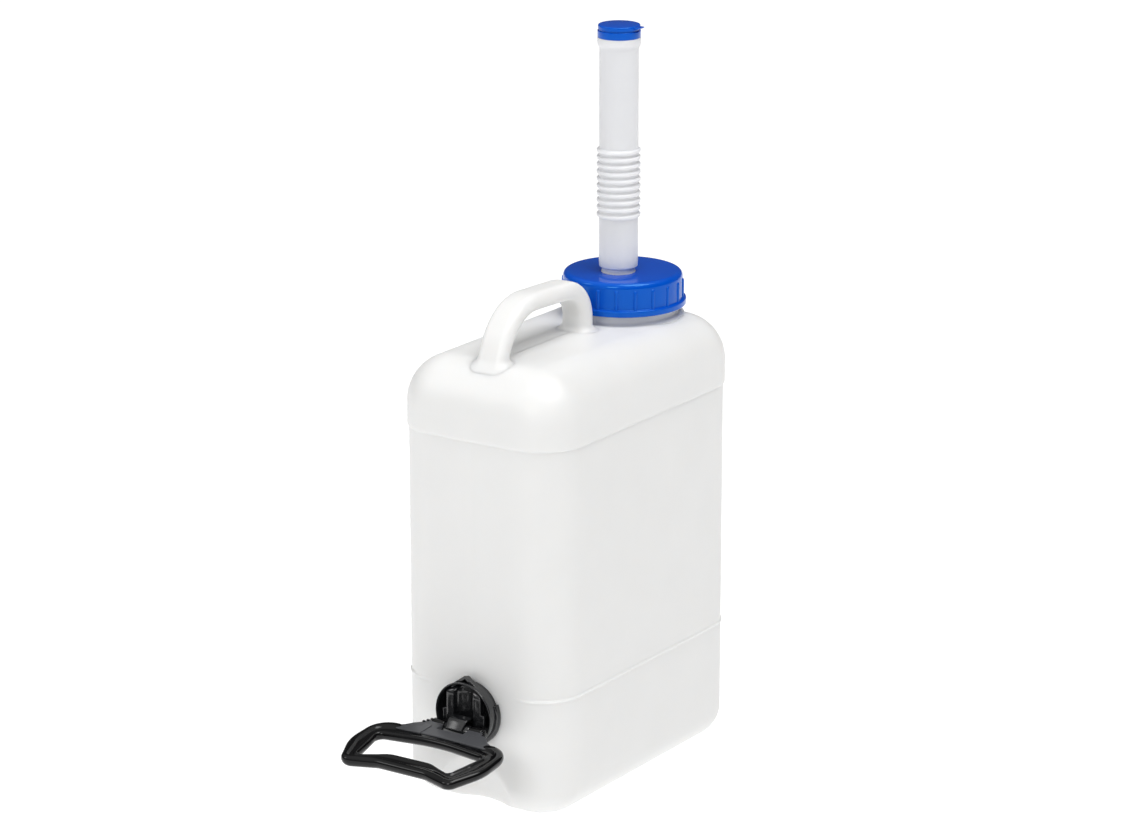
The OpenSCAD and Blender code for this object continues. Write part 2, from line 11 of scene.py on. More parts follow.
import bmesh
import bpy
import numpy as np
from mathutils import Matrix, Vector


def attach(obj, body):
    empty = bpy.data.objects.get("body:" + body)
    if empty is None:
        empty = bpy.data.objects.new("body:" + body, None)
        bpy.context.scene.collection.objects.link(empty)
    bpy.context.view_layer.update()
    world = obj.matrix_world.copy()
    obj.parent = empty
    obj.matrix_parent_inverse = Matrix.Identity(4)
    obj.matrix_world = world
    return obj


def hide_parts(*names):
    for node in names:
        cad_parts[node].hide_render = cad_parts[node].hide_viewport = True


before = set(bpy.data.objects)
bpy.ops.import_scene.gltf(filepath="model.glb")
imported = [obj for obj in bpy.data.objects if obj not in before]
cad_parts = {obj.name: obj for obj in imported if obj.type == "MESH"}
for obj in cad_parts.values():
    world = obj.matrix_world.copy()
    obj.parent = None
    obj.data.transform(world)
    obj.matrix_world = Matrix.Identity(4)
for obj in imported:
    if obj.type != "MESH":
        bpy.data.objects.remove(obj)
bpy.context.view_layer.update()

MM = 0.001

# %% [markdown]
# ## Colours and nodes
# Colours are written as the hex values that a screen shows. Blender works in linear light,
# so one function turns them. A second one adds a node, sets its sockets and links it, and a
# third starts a material with the three nodes that every one here needs.


# %% Colour and node helpers
def paint(hex_text):
    """The linear colour of an sRGB hex value."""
    parts = [int(hex_text[i:i + 2], 16) / 255 for i in (1, 3, 5)]
    return [c / 12.92 if c <= 0.04045 else ((c + 0.055) / 1.055) ** 2.4 for c in parts] + [1.0]


def add_node(tree, kind, links=None, values=None, **settings):
    """One node with its settings, its values and the links into it."""
    node = tree.nodes.new(kind)
    for name, value in settings.items():
        setattr(node, name, value)
    for name, value in (values or {}).items():
        node.inputs[name].default_value = value
    for name, socket in (links or {}).items():
        tree.links.new(socket, node.inputs[name])
    return node


def start_material(name):
    """An empty material with its output and shader, and object coordinates to draw with."""
    mat = bpy.data.materials.new(name)
    mat.use_nodes = True
    tree = mat.node_tree
    tree.nodes.clear()
    out = add_node(tree, "ShaderNodeOutputMaterial")
    shader = add_node(tree, "ShaderNodeBsdfPrincipled")
    tree.links.new(shader.outputs["BSDF"], out.inputs["Surface"])
    where = add_node(tree, "ShaderNodeTexCoord").outputs["Object"]
    return mat, tree, shader, where


print("blue in linear light", [round(c, 3) for c in paint("#004CBC")])

# %% [markdown]
# ## Natural polyethylene, blow moulded
# High-density polyethylene with no pigment is milky: light goes a few millimetres into the
# wall and comes out again beside where it entered. Subsurface scattering gives that. The
# outside was blown against a lightly sand-blasted mould, so the gloss is soft, and the wall
# cools unevenly, which leaves waves 30 mm long and a fraction of a millimetre deep. The
# spout is the same plastic in its softer, low-density form, with a thinner wall.

# %% Natural polyethylene
CLOUD_MM = 45                            # the wall's tone drifts over about this length
SAND_DEPTH_MM, WAVE_DEPTH_MM = 0.06, 0.8
GLOW_REACH_MM = 9                        # longer than the wall is thick, so corners glow too
MILKY_DRIFT = 0.05                       # how far the roughness strays to either side


def milky_polyethylene(name, colour, deep, roughness, glow, sand_mm, wave_mm):
    """Unpigmented polyethylene: glowing, with sand grain over long shallow waves."""
    mat, tree, shader, where = start_material(name)
    wall = add_node(tree, "ShaderNodeTexNoise", {"Vector": where},
                    {"Scale": 1 / (CLOUD_MM * MM), "Detail": 2.0, "Roughness": 0.5})
    tone = add_node(tree, "ShaderNodeMix", {"Factor": wall.outputs["Fac"]}, data_type="RGBA")
    tone.inputs["A"].default_value = paint(colour)
    tone.inputs["B"].default_value = paint(deep)
    sand = add_node(tree, "ShaderNodeTexNoise", {"Vector": where},
                    {"Scale": 1 / (sand_mm * MM), "Detail": 3.0, "Roughness": 0.6})
    waves = add_node(tree, "ShaderNodeTexNoise", {"Vector": where},
                     {"Scale": 1 / (wave_mm * MM), "Detail": 1.0})
    ripple = add_node(tree, "ShaderNodeBump", {"Height": waves.outputs["Fac"]},
                      {"Strength": 0.25, "Distance": WAVE_DEPTH_MM * MM})
    grain = add_node(tree, "ShaderNodeBump",
                     {"Height": sand.outputs["Fac"], "Normal": ripple.outputs["Normal"]},
                     {"Strength": 0.25, "Distance": SAND_DEPTH_MM * MM})
    rough = add_node(tree, "ShaderNodeMapRange", {"Value": sand.outputs["Fac"]},
                     {"To Min": roughness - MILKY_DRIFT, "To Max": roughness + MILKY_DRIFT})
    tree.links.new(tone.outputs["Result"], shader.inputs["Base Color"])
    tree.links.new(rough.outputs["Result"], shader.inputs["Roughness"])
    tree.links.new(grain.outputs["Normal"], shader.inputs["Normal"])
    shader.inputs["IOR"].default_value = 1.51
    shader.inputs["Subsurface Weight"].default_value = glow
    shader.inputs["Subsurface Radius"].default_value = (1.0, 0.95, 0.9)
    shader.inputs["Subsurface Scale"].default_value = GLOW_REACH_MM * MM
    print("made", name)
    return mat


# The real grain is finer than a millimetre; 0.9 and 0.7 mm are the smallest that still show.
natural_hdpe = milky_polyethylene("natural_hdpe_blow_moulded", "#E6E6E5", "#E2E2E1",
                                  roughness=0.40, glow=0.8, sand_mm=0.9, wave_mm=30)
spout_ldpe = milky_polyethylene("natural_ldpe_spout", "#E7E7E9", "#E2E2E5",
                                roughness=0.36, glow=0.45, sand_mm=0.7, wave_mm=14)

# %% [markdown]
# ## Moulded plastics, and the pin's steel
# The cap and the stopper are injection-moulded polyethylene in a strong blue, from a polished
# mould. The grip is glossy black nylon, with a satin plate where the mould was etched. The
# bracket is the same nylon, a little rougher, and its black is painted lighter than the grip's
# to stand in for light inside its cup. The seal is a foamed polyethylene, and the hinge pin is
# ground steel. One recipe serves all: an even colour, fine grain, and a gloss that clouds over
# a centimetre or so, as handled things do. Steel only adds the metal.

# %% Plastics, foam and steel
GLOSS_CLOUD_MM = 12                      # the gloss drifts over about this length
GLOSS_DRIFT = 0.04                       # how far the roughness strays to either side
PIGMENT_REACH_MM = 1.5                   # light goes this far into a pigmented wall


def even_finish(name, colour, roughness, grain_mm, grain_depth, glow=0.0, gloss=0.5,
                sheen_colour="#FFFFFF"):
    """A finish of one colour, with the grain's width and depth in millimetres."""
    mat, tree, shader, where = start_material(name)
    grain = add_node(tree, "ShaderNodeTexNoise", {"Vector": where},
                     {"Scale": 1 / (grain_mm * MM), "Detail": 3.0, "Roughness": 0.6})
    cloud = add_node(tree, "ShaderNodeTexNoise", {"Vector": where},
                     {"Scale": 1 / (GLOSS_CLOUD_MM * MM), "Detail": 2.0})
    rough = add_node(tree, "ShaderNodeMapRange", {"Value": cloud.outputs["Fac"]},
                     {"To Min": roughness - GLOSS_DRIFT, "To Max": roughness + GLOSS_DRIFT})
    bump = add_node(tree, "ShaderNodeBump", {"Height": grain.outputs["Fac"]},
                    {"Strength": 0.2, "Distance": grain_depth * MM})
    shader.inputs["Base Color"].default_value = paint(colour)
    shader.inputs["IOR"].default_value = 1.5
    shader.inputs["Subsurface Weight"].default_value = glow
    shader.inputs["Subsurface Radius"].default_value = (0.3, 0.5, 1.0)
    shader.inputs["Subsurface Scale"].default_value = PIGMENT_REACH_MM * MM
    shader.inputs["Specular IOR Level"].default_value = gloss
    shader.inputs["Specular Tint"].default_value = paint(sheen_colour)
    tree.links.new(rough.outputs["Result"], shader.inputs["Roughness"])
    tree.links.new(bump.outputs["Normal"], shader.inputs["Normal"])
    print("made", name)
    return mat


# Polished blue: crisp highlights, with a little cyan in them, over a deep even colour.
blue_polyethylene = even_finish("blue_polyethylene_moulded", "#004CBC", 0.08, 0.8, 0.02,
                                glow=0.1, gloss=0.6, sheen_colour="#7FD8F0")
# Nearly all that the eye gets from the black ring is its highlights.
black_nylon = even_finish("black_nylon_glossy", "#050506", 0.10, 1.2, 0.02, gloss=0.32)
# The etched plate scatters the light, so it reads as dark grey.
satin_nylon = even_finish("black_nylon_satin", "#46474A", 0.34, 0.7, 0.05, gloss=0.4)
# Painted light: the bracket's black is lighter than the grip's, standing in for the light that
# reaches inside its cup.
bracket_nylon_painted_light = even_finish("black_nylon_bracket_painted_light", "#161719", 0.15, 1.2, 0.02, gloss=0.7)
# Foam is all fine cells, so it has no highlight, and ground steel has long soft ones.
seal_foam = even_finish("pe_foam_seal", "#D9D8D2", 0.75, 0.5, 0.10)
ground_steel = even_finish("ground_steel_pin", "#B4B6B8", 0.28, 0.4, 0.02)
ground_steel.node_tree.nodes["Principled BSDF"].inputs["Metallic"].default_value = 1.0

# %% [markdown]
# ## The camera
# The photograph is a packshot through a long lens, 3.5 m away and a little above the can.
# The camera's place and its focal length were worked out from the can's vertical edges, so
# they are typed in here as they were found.

# %% Camera
CAMERA_PLACE, CAMERA_AIM = (1.8449, -2.7520, 1.2857), (0.00118, 0.0, 0.30321)
FOCAL_PX, FRAME_W_PX, SENSOR_W = 4113.49, 1140, 36

camera = bpy.data.objects.new("camera", bpy.data.cameras.new("camera"))
bpy.context.scene.collection.objects.link(camera)
camera.location = CAMERA_PLACE
aim = Vector(CAMERA_AIM) - camera.location
camera.rotation_euler = aim.to_track_quat("-Z", "Y").to_euler()
camera.data.sensor_width = SENSOR_W
camera.data.lens = SENSOR_W * FOCAL_PX / FRAME_W_PX
camera.data.clip_end = 50
bpy.context.scene.camera = camera
print("camera lens", round(camera.data.lens, 1), "mm")

# %% [markdown]
# ## The floor
# The picture's ground is pure white and almost free of shadow. A plain white floor would
# throw too much light back on to the walls, so this one is grey and glows: the glow lifts it
# to white for the camera, and the grey keeps what it sends back low.

# %% Floor
FLOOR_HALF = 12.0                        # half its width, in metres
FLOOR_GLOW = 0.84


def add_floor():
    """A wide sheet at the can's foot, with a grain too faint to see."""
    mat, tree, shader, where = start_material("white_studio_floor")
    speck = add_node(tree, "ShaderNodeTexNoise", {"Vector": where}, {"Scale": 40.0})
    tint = add_node(tree, "ShaderNodeMix", {"Factor": speck.outputs["Fac"]}, data_type="RGBA")
    tint.inputs["A"].default_value = paint("#ACACAC")
    tint.inputs["B"].default_value = paint("#A8A8A8")
    tree.links.new(tint.outputs["Result"], shader.inputs["Base Color"])
    shader.inputs["Roughness"].default_value = 0.9
    shader.inputs["Emission Color"].default_value = paint("#FFFFFF")
    shader.inputs["Emission Strength"].default_value = FLOOR_GLOW
    mesh = bpy.data.meshes.new("studio_floor")
    h = FLOOR_HALF
    mesh.from_pydata([(-h, -h, 0), (h, -h, 0), (h, h, 0), (-h, h, 0)], [], [(0, 1, 2, 3)])
    mesh.materials.append(mat)
    floor = bpy.data.objects.new("studio_floor", mesh)
    bpy.context.scene.collection.objects.link(floor)
    print("floor", 2 * FLOOR_HALF, "m wide")


add_floor()

# %% [markdown]
# ## The light
# A large softbox overhead gives the even white, a square one in front puts the highlights on
# the shoulder and the black ring, and a weak one fills the left. The room itself is bright
# at the ceiling, dim on the viewer's side and dark behind the can. That dark side is what
# the cap's flat top mirrors, and it keeps the blue deep.

# %% Softboxes and the room
VIEWER_SHARE = -0.35                     # how much of the ceiling's light comes from the front
ROOM_FROM, ROOM_FULL = 0.35, 1.0         # heights between which the room's light grows


def add_area(name, place, target, size, power):
    """A softbox of a width and a height in metres, turned towards a point."""
    light = bpy.data.lights.new(name, "AREA")
    light.shape = "RECTANGLE"
    light.size, light.size_y = size
    light.energy = power
    light.color = paint("#FFFFFF")[:3]
    lamp = bpy.data.objects.new(name, light)
    bpy.context.scene.collection.objects.link(lamp)
    lamp.location = place
    lamp.rotation_euler = (Vector(target) - lamp.location).to_track_quat("-Z", "Y").to_euler()
    print(name, power, "W")


def white_room(low, high):
    """Light from all round: most from the ceiling, some from the front, least from behind."""
    world = bpy.data.worlds.new("white_room")
    bpy.context.scene.world = world
    world.use_nodes = True
    tree = world.node_tree
    sky = tree.nodes["Background"]
    way = add_node(tree, "ShaderNodeTexCoord").outputs["Generated"]
    split = add_node(tree, "ShaderNodeSeparateXYZ", {"Vector": way})
    lean = add_node(tree, "ShaderNodeMath", {0: split.outputs["Y"], 2: split.outputs["Z"]},
                    {1: VIEWER_SHARE}, operation="MULTIPLY_ADD")
    climb = add_node(tree, "ShaderNodeMapRange", {"Value": lean.outputs["Value"]},
                     {"From Min": ROOM_FROM, "From Max": ROOM_FULL, "To Min": low,
                      "To Max": high})
    tree.links.new(climb.outputs["Result"], sky.inputs["Strength"])
    sky.inputs["Color"].default_value = paint("#FFFFFF")
    print("room light from", low, "to", high)


white_room(0.08, 0.86)
add_area("key_softbox", (0.7, -3.1, 1.9), (0, 0, 0.25), (1.2, 1.2), 23)
add_area("left_softbox", (-2.0, -1.9, 2.2), (0, 0, 0.2), (1.0, 1.0), 9)
add_area("top_softbox", (1.0, 0.0, 2.9), (0, 0, 0.3), (1.8, 1.8), 52)
bpy.context.scene.view_settings.view_transform = "Standard"

# %% [markdown]
# ## Meshes from rings
# Most pieces here are skins over a stack of rings: each ring has the same number of points,
# and neighbouring rings are joined by quads. That gives clean, even faces where the real
# piece is one flowing surface, and the rings can be pressed and bent before they are joined.


# %% A piece, and a skin over rings
def new_piece(name, body, verts, faces, material, angle=None):
    """A mesh in the shared frame that rides on a body; edges over the angle stay sharp."""
    mesh = bpy.data.meshes.new(name)
    mesh.from_pydata([tuple(v) for v in verts], [], faces)
    mesh.materials.append(material)
    bm = bmesh.new()
    bm.from_mesh(mesh)
    bmesh.ops.remove_doubles(bm, verts=bm.verts, dist=1e-6)
    bmesh.ops.recalc_face_normals(bm, faces=bm.faces)
    bm.to_mesh(mesh)
    bm.free()
    obj = bpy.data.objects.new(name, mesh)
    bpy.context.scene.collection.objects.link(obj)
    for poly in mesh.polygons:
        poly.use_smooth = True
    if angle:
        mesh.set_sharp_from_angle(angle=math.radians(angle))
    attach(obj, body)
    print(name, len(mesh.vertices), "vertices")
    return obj


def skin(rings, closed=True, caps=(False, False)):
    """Vertices and quads for a stack of rings of equal length."""
    n = len(rings[0])
    verts = [p for ring in rings for p in ring]
    faces = []
    for i in range(len(rings) - 1):
        for k in range(n if closed else n - 1):
            a, b = i * n + k, i * n + (k + 1) % n
            faces.append((a, b, b + n, a + n))
    if caps[0]:
        faces.append(tuple(range(n)))
    if caps[1]:
        faces.append(tuple((len(rings) - 1) * n + k for k in range(n)))
    return verts, faces


def joined(*parts):
    """Several (verts, faces) pairs as one."""
    verts, faces = [], []
    for v, f in parts:
        faces += [tuple(i + len(verts) for i in face) for face in f]
        verts += v
    return verts, faces


# %% [markdown]
# ## Round corners and turned forms
# No moulding has a truly sharp corner, because the mould was cut with a round tool. One
# function rounds the corners of a section, one turns a section about an upright axis, and
# one blends two heights softly, for forms that are pressed into each other.


# %% Rounding, turning and blending
def rounded(points, radius, steps):
    """A line of (radius, height[, corner radius]) points with its inner corners rounded."""
    out = [points[0][:2]]
    for before, here, after in zip(points, points[1:], points[2:]):
        p, a, b = (np.array(q[:2], float) for q in (here, before, after))
        u, v = (a - p), (b - p)
        lu, lv = np.linalg.norm(u), np.linalg.norm(v)
        r = here[2] if len(here) > 2 else radius
        cut = min(r, 0.45 * lu, 0.45 * lv)
        s, e = p + u / lu * cut, p + v / lv * cut
        for t in np.linspace(0, 1, steps):
            out.append(tuple((1 - t) ** 2 * s + 2 * t * (1 - t) * p + t * t * e))
    out.append(points[-1][:2])
    return out


def revolved(profile, centre, steps):
    """A skin of revolution about a vertical axis, from (radius, height) pairs in metres."""
    n = len(profile)
    verts, faces = [], []
    for k in range(steps):
        a = 2 * math.pi * k / steps
        verts += [(centre[0] + r * math.cos(a), centre[1] + r * math.sin(a), z)
                  for r, z in profile]
        here, beside = k * n, (k + 1) % steps * n
        faces += [(here + i, beside + i, beside + i + 1, here + i + 1) for i in range(n - 1)]
    return verts, faces


def smooth_max(a, b, k):
    """The larger of two values, with a soft change-over k wide."""
    h = np.clip(0.5 + 0.5 * (a - b) / k, 0, 1)
    return b + (a - b) * h + k * h * (1 - h)


# %% [markdown]
# ## The canister
# A blow moulding has one even skin with large soft corners. It is drawn as rings that climb
# from the base to the top: each ring is a rectangle with round corners, moved inwards where
# the base and the shoulder turn. The waist step, the bead line, the scoop under the grip and
# the shallow arches between the feet are then pressed into the rings, as the mould did.

# %% Sizes of the canister, in metres
BODY_W, BODY_L, BODY_H = 165 * MM, 288 * MM, 379.5 * MM
CORNER, SHOULDER, FOOT = 40 * MM, 40 * MM, 27 * MM
STEP_Z, STEP_D = 319.5 * MM, 1.5 * MM
BEAD_Z, BEAD_R = 105.4 * MM, 1.0 * MM
FRONT = -(BODY_L / 2 - STEP_D)
NECK_Y, NECK_R, NECK_TOP = 82.3 * MM, 46.5 * MM, 410 * MM
print("front wall at", round(FRONT, 4), "m")

# %% [markdown]
# ### One ring of the body
# The corners get 22 points each and the wide walls 72, which is fine enough for the light to
# run smoothly round. On the narrow walls the points crowd together in the middle, because
# the mould halves met there and left a ridge about a millimetre wide.

# %% One ring of the body
ARC_N, SHORT_N, LONG_N = 22, 63, 72
RIDGE_H, RIDGE_HALF = 0.15 * MM, 0.7 * MM
SIDES = ((1, -1, -90, LONG_N), (1, 1, 0, SHORT_N), (-1, 1, 90, LONG_N), (-1, -1, 180, SHORT_N))


def side_places(side_n):
    """Where the points of one side lie, closer together where the mould halves meet."""
    if side_n == LONG_N:
        return [k / side_n for k in range(side_n)]
    coarse = [k / 56 for k in range(56) if k != 28]
    return sorted(coarse + [0.5 + d / 85 for d in (-1.6, -0.9, -0.6, -0.3, 0.3, 0.6, 0.9, 1.6)])


def body_ring(inset, z):
    """Points round the body at one height, starting at the front right corner."""
    hx, hy = BODY_W / 2 - inset, BODY_L / 2 - inset
    r = max(CORNER - inset, 0.4 * MM)
    pts = []
    for (cx, cy, start, side_n), (nx, ny, _, _) in zip(SIDES, SIDES[1:] + SIDES[:1]):
        ox, oy = cx * (hx - r), cy * (hy - r)
        for k in range(ARC_N):
            a = math.radians(start + 90 * k / ARC_N)
            pts.append((ox + r * math.cos(a), oy + r * math.sin(a), z))
        a = math.radians(start + 90)
        end = (ox + r * math.cos(a), oy + r * math.sin(a))
        b = (nx * (hx - r) + r * math.cos(a), ny * (hy - r) + r * math.sin(a))
        for t in side_places(side_n):
            pts.append((end[0] + (b[0] - end[0]) * t, end[1] + (b[1] - end[1]) * t, z))
    return np.array(pts)


def raise_ridge(p):
    """Lifts the fine ridge where the mould halves meet, on the two narrow walls."""
    shape = RIDGE_H * np.exp(-(p[:, 0] / RIDGE_HALF) ** 2)
    room = BODY_L / 2 - np.abs(p[:, 1])
    on_end = (np.abs(p[:, 1]) > 60 * MM) & (p[:, 2] > 30 * MM)
    p[:, 1] += np.where(on_end, np.sign(p[:, 1]) * np.minimum(shape, np.maximum(room, 0)), 0)
    return p


print("points round the body", len(body_ring(0.0, STEP_Z)))

# %% [markdown]
# ### The rings' heights
# Rings stand close together where the skin turns, at the foot, the bead, the waist step and
# the shoulder, and far apart on the plain wall. Each is a height and how far it is set in.


# %% Heights and insets from the base to the top
def body_levels():
    """(height, inset) of every ring, in metres."""
    base = [(0.0, STEP_D + d * MM) for d in (58, 52, 46, 40, 34, 30)]
    foot = [(FOOT - FOOT * math.cos(math.radians(a)),
             STEP_D + FOOT - FOOT * math.sin(math.radians(a))) for a in np.linspace(0, 90, 25)]
    low_wall = [(z * MM, STEP_D)
                for z in list(np.arange(29.5, 51, 1.5)) + [55, 62, 72, 86, 98, 103]]
    bead = [(BEAD_Z + BEAD_R * 1.3 * math.sin(math.radians(a)),
             STEP_D - BEAD_R * math.cos(math.radians(a))) for a in np.linspace(-90, 90, 9)]
    wall = [(z * MM, STEP_D) for z in (108, 125, 150, 185, 220, 255, 285, 305, 314, 317)]
    step = [(STEP_Z + (t - 0.5) * 2.4 * MM, STEP_D * (1 - t * t * (3 - 2 * t)))
            for t in np.linspace(0, 1, 8)]
    band = [(z * MM, 0.0) for z in (323, 328, 334)]
    shoulder = [(BODY_H - SHOULDER + SHOULDER * math.sin(math.radians(a)),
                 SHOULDER - SHOULDER * math.cos(math.radians(a))) for a in np.linspace(0, 90, 26)]
    top = [(BODY_H, d * MM) for d in (46, 54, 62, 70, 78)]
    return base + foot + low_wall + bead + wall + step + band + shoulder + top


print("rings", len(body_levels()))

# %% [markdown]
# ### Arches and scoop
# The base stands on four feet with shallow arches between them, so that it doesn't rock. The
# scoop leaves room for the fingers behind the grip. Both are pressed into the rings with the
# shape of a tool: a point moves only where the tool reaches past it.

# %% Arches between the feet, and the scoop
ARCH_RISE, ARCH_FLAT = 4 * MM, 22 * MM           # height, and half the flat in the middle
FOOT_L, FOOT_W = 55 * MM, 40 * MM                # each foot, along and across
SCOOP_R, SCOOP_H, SCOOP_D = 57 * MM, 47 * MM, 22.4 * MM


def press_arches(p):
    """Lifts the base between the four feet, in two directions."""
    spans = ((BODY_W / 2 - STEP_D, BODY_L - 2 * STEP_D - 2 * FOOT_L, 0, 1),
             (BODY_L / 2 - STEP_D, BODY_W - 2 * STEP_D - 2 * FOOT_W, 1, 0))
    for half, chord, across, along in spans:
        r = ((chord / 2) ** 2 + ARCH_RISE ** 2) / (2 * ARCH_RISE)
        reach = np.clip(np.abs(p[:, along]), 0, r * 0.99)
        fall = r - np.sqrt(r * r - reach ** 2)
        dome = ARCH_RISE * (np.abs(p[:, across]) - ARCH_FLAT) / (half - ARCH_FLAT) - fall
        near = p[:, 2] < 40 * MM
        lifted = smooth_max(p[:, 2], dome, 1.6 * MM)
        p[:, 2] = np.where(near & (dome > -2 * MM), np.maximum(lifted, 0), p[:, 2])
    return p


def press_scoop(p):
    """Pushes the front wall back under the grip, with a leaning round tool."""
    blend = 0.8 * MM
    x = np.clip(p[:, 0], -SCOOP_R * 0.99, SCOOP_R * 0.99)
    tool = (FRONT + SCOOP_D * (1 - p[:, 2] / SCOOP_H)
            - (SCOOP_R - np.sqrt(SCOOP_R * SCOOP_R - x * x)))
    pressed = smooth_max(p[:, 1], tool, blend)
    ours = (p[:, 1] < -60 * MM) & (tool > p[:, 1] - blend) & (p[:, 2] < 60 * MM)
    p[:, 1] = np.where(ours, pressed, p[:, 1])
    return p


# %% The canister's skin
BEAD_ENDS, BEAD_FADE = 44 * MM, 10 * MM          # where the bead starts to rise, and how fast


def make_body():
    rings = []
    for z, inset in body_levels():
        ring = body_ring(inset, z)
        if abs(z - BEAD_Z) < 2 * BEAD_R:
            # The bead runs along the wide walls and dies out on the narrow ones
            plain = body_ring(STEP_D, z)
            keep = np.clip((np.abs(ring[:, 0]) - BEAD_ENDS) / BEAD_FADE, 0, 1)[:, None]
            ring = ring * keep + plain * (1 - keep)
        rings.append(raise_ridge(press_scoop(press_arches(ring))))
    return skin([[tuple(q) for q in ring] for ring in rings], caps=(True, True))


canister_skin = new_piece("canister_skin", "can", *make_body(), natural_hdpe)

# %% [markdown]
# ## The neck
# The neck stands on the shoulder with a hollow round at its foot, and carries a coarse
# thread, which shows when the cap is turned up. The neck is turned from half its section.
# The thread is one long ridge wound round it, thin at both ends, as the mould leaves it.

# %% Neck and thread
NECK_WALL, NECK_ROOT = 2.8 * MM, 22 * MM         # the root ends unseen, inside the can
THREAD_TURNS, THREAD_PITCH, THREAD_LOW, THREAD_H = 2.2, 6.0, 390.5, 1.3
THREAD_SECTION = ((0, -1.6), (1.0, -0.6), (1.3, 0.0), (1.0, 0.6), (0, 1.6))


def make_neck():
    line = [(NECK_R + 6.0 * MM, BODY_H - NECK_ROOT),
            (NECK_R + 6.0 * MM, BODY_H - 0.4 * MM, 0.4 * MM),
            (NECK_R + 0.4 * MM, BODY_H + 0.6 * MM, 5.0 * MM),
            (NECK_R, NECK_TOP), (NECK_R - NECK_WALL, NECK_TOP),
            (NECK_R - NECK_WALL, BODY_H - NECK_ROOT)]
    return revolved(rounded(line, 1.2 * MM, 8), (0, NECK_Y), 160)


def make_thread():
    rings = []
    count = int(THREAD_TURNS * 72)
    for k in range(count + 1):
        t = k / count
        a = 2 * math.pi * THREAD_TURNS * t
        z = (THREAD_LOW + THREAD_PITCH * THREAD_TURNS * t) * MM
        grow = min(1.0, 12 * t, 12 * (1 - t)) * THREAD_H * MM
        rings.append([(math.cos(a) * (NECK_R - 0.4 * MM + out * grow),
                       NECK_Y + math.sin(a) * (NECK_R - 0.4 * MM + out * grow),
                       z + dz * MM) for out, dz in THREAD_SECTION])
    return skin(rings, caps=(True, True))


neck = new_piece("canister_neck", "can", *make_neck(), natural_hdpe)
thread = new_piece("neck_thread", "can", *make_thread(), natural_hdpe)

# %% [markdown]
# ## Bent lines
# The handle, the tongue and the grip all follow a line of straights with round bends, as a
# bent rod would. A bend is an arc that leaves one straight and meets the next without a
# kink, so its ends are found from the angle between the two.


# %% Straights and bends
def unit(v):
    """The direction of a vector."""
    return v / np.linalg.norm(v)


def turn_between(u, v):
    """The angle from one direction to the next, positive to the left."""
    return math.atan2(u[0] * v[1] - u[1] * v[0], u @ v)


def bend(corner, u, turn, radius, count):
    """The arc that rounds a corner which is reached in the direction u."""
    back = radius * math.tan(abs(turn) / 2)
    start = corner - u * back
    centre = start + math.copysign(1, turn) * radius * np.array([-u[1], u[0]])
    first = math.atan2(*(start - centre)[::-1])
    return [centre + radius * np.array([math.cos(first + turn * k / count),
                                        math.sin(first + turn * k / count)])
            for k in range(count + 1)]


def bent_line(points, bends, step=2.0):
    """Points along straights that are joined by arcs, with the direction at each one."""
    p = [np.array(q, float) for q in points]
    out, last = [], p[0]
    for i in range(1, len(p)):
        arc = [p[i]]
        if i < len(p) - 1:
            u = unit(p[i] - p[i - 1])
            arc = bend(p[i], u, turn_between(u, unit(p[i + 1] - p[i])), bends[i], 16)
        n = max(2, int(np.linalg.norm(arc[0] - last) / step))
        out += [last + (arc[0] - last) * k / n for k in range(n)] + arc[:-1]
        last = arc[-1]
    line = np.array(out + [last])
    heading = np.gradient(line, axis=0)
    return line, heading / np.linalg.norm(heading, axis=1)[:, None]


def soft_rectangle(w, h, r, corner_n):
    """A rectangle with round corners, as points about its middle."""
    pts = []
    for q in range(4):
        cx = (w / 2 - r) * (1 if q in (0, 3) else -1)
        cy = (h / 2 - r) * (1 if q < 2 else -1)
        for k in range(corner_n):
            a = math.radians(90 * q + 90 * k / (corner_n - 1))
            pts.append((cx + r * math.cos(a), cy + r * math.sin(a)))
    return pts


# %% [markdown]
# ## The carrying handle
# The handle is blown with the can. Its bar is a flat, round-edged section carried along a
# line of three straights and two bends, and it spreads a little where it meets the top. The
# feet follow the curve of the shoulder, so each foot ring asks for the top's height.

# %% The handle's middle line and its feet
HANDLE_LINE = [(-112, 379.5), (-90.5, 421.5), (13, 418), (13, 379.5)]
HANDLE_BENDS = [0, 47.5, 28.5, 0]
HANDLE_W, HANDLE_T, HANDLE_EDGE = 26.5, 15.5, 7.0
HANDLE_FILLET, FILLET_STEPS, LEG_CLEAR = 6.0, 9, 10.5


def top_height(y):
    """Height of the can's top in the plane along the can, in millimetres."""
    past = max(abs(y) - (BODY_L - 2 * SHOULDER) / 2 / MM, 0.0)
    r = SHOULDER / MM
    return BODY_H / MM - r + math.sqrt(max(r * r - past * past, 0.0))


def foot_rings(section, y0, slope):
    """Rings that carry a leg's section down on to the top, in a hollow round."""
    rings = []
    for k in range(FILLET_STEPS + 1):
        a = math.radians(90 * k / FILLET_STEPS)
        out, rise = HANDLE_FILLET * (1 - math.cos(a)), HANDLE_FILLET * (1 - math.sin(a))
        ring = []
        for x, t in section:
            length = math.hypot(x / HANDLE_W, t / HANDLE_T)
            nx, ny = x / HANDLE_W / length, t / HANDLE_T / length
            y = y0 + t * math.hypot(1, slope) + slope * rise + ny * out
            ring.append(((x + nx * out) * MM, y * MM, (top_height(y) + rise - 0.05) * MM))
        rings.append(ring)
    return rings


